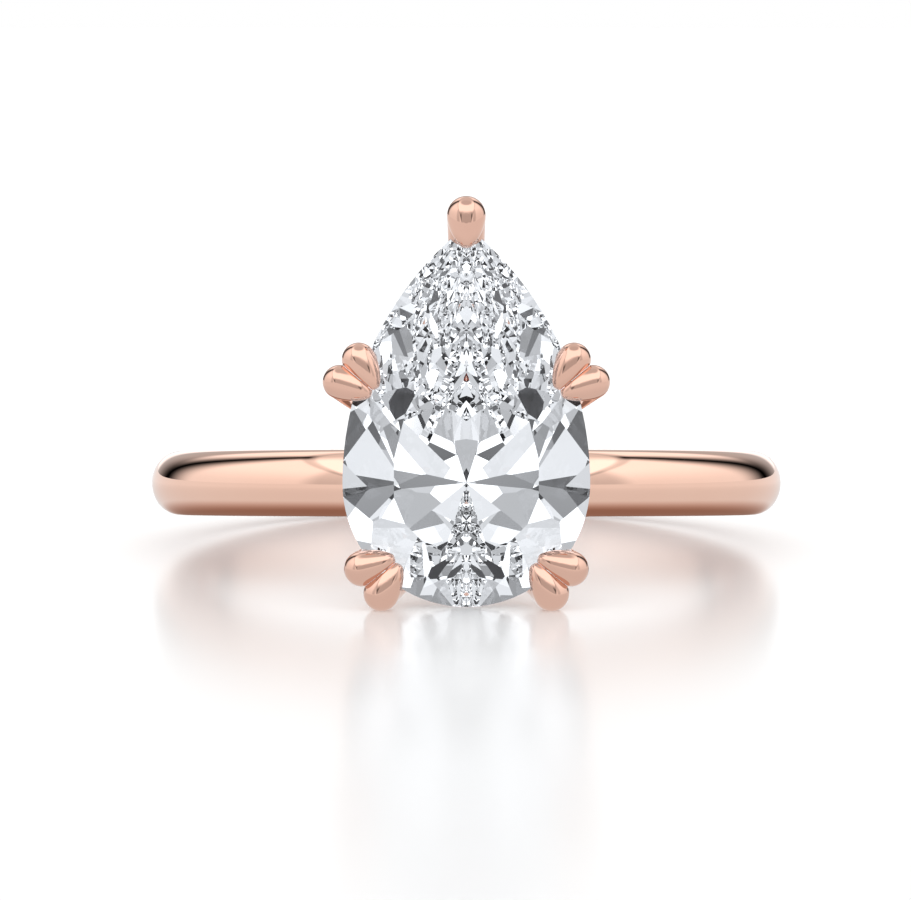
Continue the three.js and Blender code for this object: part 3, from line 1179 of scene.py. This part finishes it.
@dataclass(frozen=True)
class MetalLight:
    """The panels that the gold mirrors.

    A bearing is 0 degrees behind the ring and 180 in front of it, and a rise is 0 at the horizon.
    Each span holds the value at which a panel ends and the one at which it is full.
    """

    lean: float = 13
    lean_rises: Span = (4, 46)
    back_level: float = 1.3
    back_bearings: Span = (38, 16)
    side_bearings: Span = (38, 62)
    side_rises: Span = (0, 40)
    side_gain: float = 0.35
    notch_bearing: float = 129
    notch_span: Span = (14, 3)
    notch_depth: float = 0.3
    canopy_plane: Triple = (-0.723, -0.407, 0.559)
    canopy_edge: Span = (-0.01, 0.03)
    canopy_level: float = 0.72
    seam_span: Span = (0.045, 0.015)
    seam_depth: float = 0.3
    strip_foot: Span = (20, 32)
    strip_head: Span = (72, 60)
    strip_gain: float = 0.85
    low_rises: Span = (24, 14)
    front_span: Span = (30, 24)
    front_depth: float = 0.1
    bar_bearing: float = 34
    bar_span: Span = (7, 3)
    bar_depth: float = 0.75
    behind_span: Span = (0.05, 0.4)
    behind_gain: float = 0.1
    halo_outside: Span = (0.7, 0.8)
    halo_inside: Span = (0.96, 0.92)
    halo_depth: float = 0.6

    def level(self, graph: Graph, way: Sequence[Signal], face: Vector) -> Signal:
        """The brightness in each direction.

        Args:
            graph: The graph of the world.
            way: The parts of the direction.
            face: The way that the stone faces.

        Returns:
            The brightness.
        """
        x, y, z = way
        bearing = graph.math("ARCTAN2", abs(x), y) * DEGREES
        rise = graph.math("ARCSINE", z) * DEGREES
        swung = bearing - rise.between(*self.lean_rises) * self.lean
        back = swung.between(*self.back_bearings) * self.back_level
        gain = 1 + rise.between(*self.side_rises) * self.side_gain
        side = swung.between(*self.side_bearings) * gain
        notch = abs(bearing - self.notch_bearing).between(*self.notch_span)
        walls = (back + side) * (1 - notch * self.notch_depth)
        across, along, up = self.canopy_plane
        edge = abs(x) * across + y * along + z * up
        seam = abs(edge).between(*self.seam_span)
        aside = 180 - bearing
        low = rise.between(*self.low_rises)
        front = aside.between(*self.front_span) * low
        bars = abs(aside - self.bar_bearing).between(*self.bar_span) * low
        behind = y.between(*self.behind_span)
        strip = rise.between(*self.strip_foot) * rise.between(*self.strip_head) * (1 - behind)
        canopy = self.canopy_level + strip * self.strip_gain - front * self.front_depth
        canopy = (canopy + behind * self.behind_gain) * (1 - bars * self.bar_depth)
        level = walls + edge.between(*self.canopy_edge) * (canopy - walls)
        away = x * -face.x - y * face.y - z * face.z
        halo = away.between(*self.halo_outside) * away.between(*self.halo_inside)
        return level * (1 - seam * self.seam_depth) * (1 - halo * self.halo_depth)


@dataclass(frozen=True)
class GemLight:
    """The bright and dark panels that make the stone sparkle, with a shade in front of it."""

    tint: Colour = (0.955, 0.985, 1.03, 1.0)
    offset: Triple = (3.3, 0.8, 7.1)
    scale: float = 6.5
    shade_span: Span = (0.94, 0.985)
    shade_depth: float = 0.9
    levels: Tuple[Span, ...] = (
        (0.0, 0.035), (0.1, 0.13), (0.16, 0.34), (0.24, 0.52), (0.38, 0.7), (0.56, 0.86),
        (0.72, 1.0), (0.84, 1.6),
    )

    def level(self, graph: Graph, way: Sequence[Signal], face: Vector) -> Signal:
        """The brightness in each direction, for the same arguments as the light of the gold."""
        x, y, z = way
        across, along, up = self.offset
        folded = {0: abs(x) + across, 1: y + along, 2: z + up}
        place = graph.node("ShaderNodeCombineXYZ", {}, folded)
        panels = graph.node(
            "ShaderNodeTexVoronoi",
            {"feature": "F1"},
            {"Vector": place.outputs[0], "Scale": self.scale, "Randomness": 1.0},
        )
        lot = graph.node("ShaderNodeSeparateColor", {}, {0: panels.outputs["Color"]})
        stops = [(stop, (level, level, level, 1.0)) for stop, level in self.levels]
        tone = graph.node("ShaderNodeValToRGB", {"stops": stops}, {0: lot.outputs[0]})
        tone.color_ramp.interpolation = "CONSTANT"
        front = x * face.x + y * face.y + z * face.z
        shade = front.between(*self.shade_span) * self.shade_depth
        return graph.signal(tone, "Color") * (1 - shade)


@dataclass
class Studio:
    """The table, the light round it and the camera."""

    bench: Bench
    metal_light: MetalLight = MetalLight()
    gem_light: GemLight = GemLight()
    room_level: float = 1.0
    room_tint: Colour = (1.0, 1.0, 1.0, 1.0)
    table_radius: float = 1.2
    table_sides: int = 128
    camera_distance: float = 150.2
    lens: float = 183.4
    shift: Tuple[float, float] = (-0.0119, 0.0362)
    clip: Tuple[float, float] = (0.001, 10.0)
    bounces: int = 32
    kind_bounces: int = 24

    def build_table(self) -> None:
        """Lays the table, as a stage piece."""
        deselect_all()
        bpy.ops.mesh.primitive_circle_add(
            vertices=self.table_sides, radius=self.table_radius, fill_type="NGON"
        )
        table = bpy.context.object
        table.name = "table"
        centre = self.bench.point(0, 0, 0)
        table.data.materials.append(GlossyTable(centre_y=centre.y).make())
        table.visible_transmission = False

    def build_light(self) -> None:
        """Builds the light round the table as a function of direction."""
        world = bpy.data.worlds.new("soft_studio")
        world.use_nodes = True
        bpy.context.scene.world = world
        graph = Graph(world.node_tree)
        coordinate = graph.node("ShaderNodeTexCoord").outputs["Generated"]
        parts = graph.node("ShaderNodeSeparateXYZ", {}, {0: coordinate})
        way = [graph.signal(parts, axis) for axis in "XYZ"]
        face = self.bench.direction(0, 0, 1)
        level = self.metal_light.level(graph, way, face)
        path = graph.node("ShaderNodeLightPath")
        through = graph.signal(path, "Is Transmission Ray")
        level = level + through * (self.gem_light.level(graph, way, face) - level)
        for kind in ("Is Diffuse Ray", "Is Camera Ray"):
            level = level + graph.signal(path, kind) * (self.room_level - level)
        tint = graph.blend(through, self.room_tint, self.gem_light.tint)
        shader = graph.node("ShaderNodeBackground", {}, {"Color": tint, "Strength": level})
        graph.node("ShaderNodeOutputWorld", {}, {"Surface": shader.outputs[0]})

    def build_camera(self) -> None:
        """Sets the camera up in front of the stone."""
        data = bpy.data.cameras.new("camera")
        data.lens = self.lens
        data.shift_x, data.shift_y = self.shift
        data.clip_start, data.clip_end = self.clip
        camera = bpy.data.objects.new("camera", data)
        bpy.context.scene.collection.objects.link(camera)
        axes = [self.bench.direction(*axis) for axis in ((1, 0, 0), (0, 1, 0), (0, 0, 1))]
        turn = Matrix(axes).transposed().to_4x4()
        place = self.bench.point(0, 0, self.camera_distance)
        camera.matrix_world = Matrix.Translation(place) @ turn
        bpy.context.scene.camera = camera

    def set_bounces(self) -> None:
        """Lets light run long enough inside the stone, and keeps colours plain."""
        scene = bpy.context.scene
        scene.view_settings.view_transform = "Standard"
        scene.cycles.max_bounces = self.bounces
        scene.cycles.glossy_bounces = self.kind_bounces
        scene.cycles.transmission_bounces = self.kind_bounces

    def build(self) -> None:
        """Builds the whole studio."""
        self.build_camera()
        self.build_table()
        self.build_light()
        self.set_bounces()


# ---------------- the ring


BAND_GOLD = RoseGold("rose_gold_band", (0.93, 0.62, 0.495, 1.0), (0.90, 0.575, 0.45, 1.0))
# painted shade: the setting's rose gold is a darker copy of the band's, standing in for the dimmer
# light on the claws and basket
SHADED_SETTING_GOLD = RoseGold(
    "rose_gold_setting_shaded", (0.80, 0.51, 0.405, 1.0), (0.72, 0.44, 0.345, 1.0),
    buff_stretch=(1.0, 1.0, 0.3),
)
COLOURLESS = Diamond("colourless_diamond", (1.0, 1.0, 1.0, 1.0), (0.985, 0.99, 1.0, 1.0))

CLAW_PAIRS = (
    ClawPair("upper", 43.8, 40.5, 0.35, 1.0, 0.43),
    ClawPair("lower", -46.0, -38.0, 0.36, 1.04, 0.46),
)
SEAT_CLEARANCE = 0.02
SEAT_RAIL_HEIGHT = 13.45
GALLERY_RAIL_HEIGHT = 11.95


def main() -> None:
    """Builds the ring and its studio, piece by piece."""
    bench = Bench.from_record(frame["record"])
    Studio(bench).build()

    setting_gold = SHADED_SETTING_GOLD.make()
    outline = PearOutline()
    line = BasketLine()
    shank = Shank(bench, BAND_GOLD.make())
    shank.build()
    brilliant = PearBrilliant(bench, COLOURLESS.make(), outline)
    seat = brilliant.cut("seat", SEAT_CLEARANCE)
    brilliant.build()
    PegCollet(bench, setting_gold, shank).build()
    for name, node, height, holds_stone in (
        ("rail_gallery", "gallery_rail", GALLERY_RAIL_HEIGHT, False),
        ("rail_seat", "seat_rail", SEAT_RAIL_HEIGHT, True),
    ):
        Rail(bench, setting_gold, outline, line, name, node, height, holds_stone).build(seat)
    Claws(bench, setting_gold, outline, line, CLAW_PAIRS).build(seat)
    discard(seat)


if __name__ == "__main__":
    main()
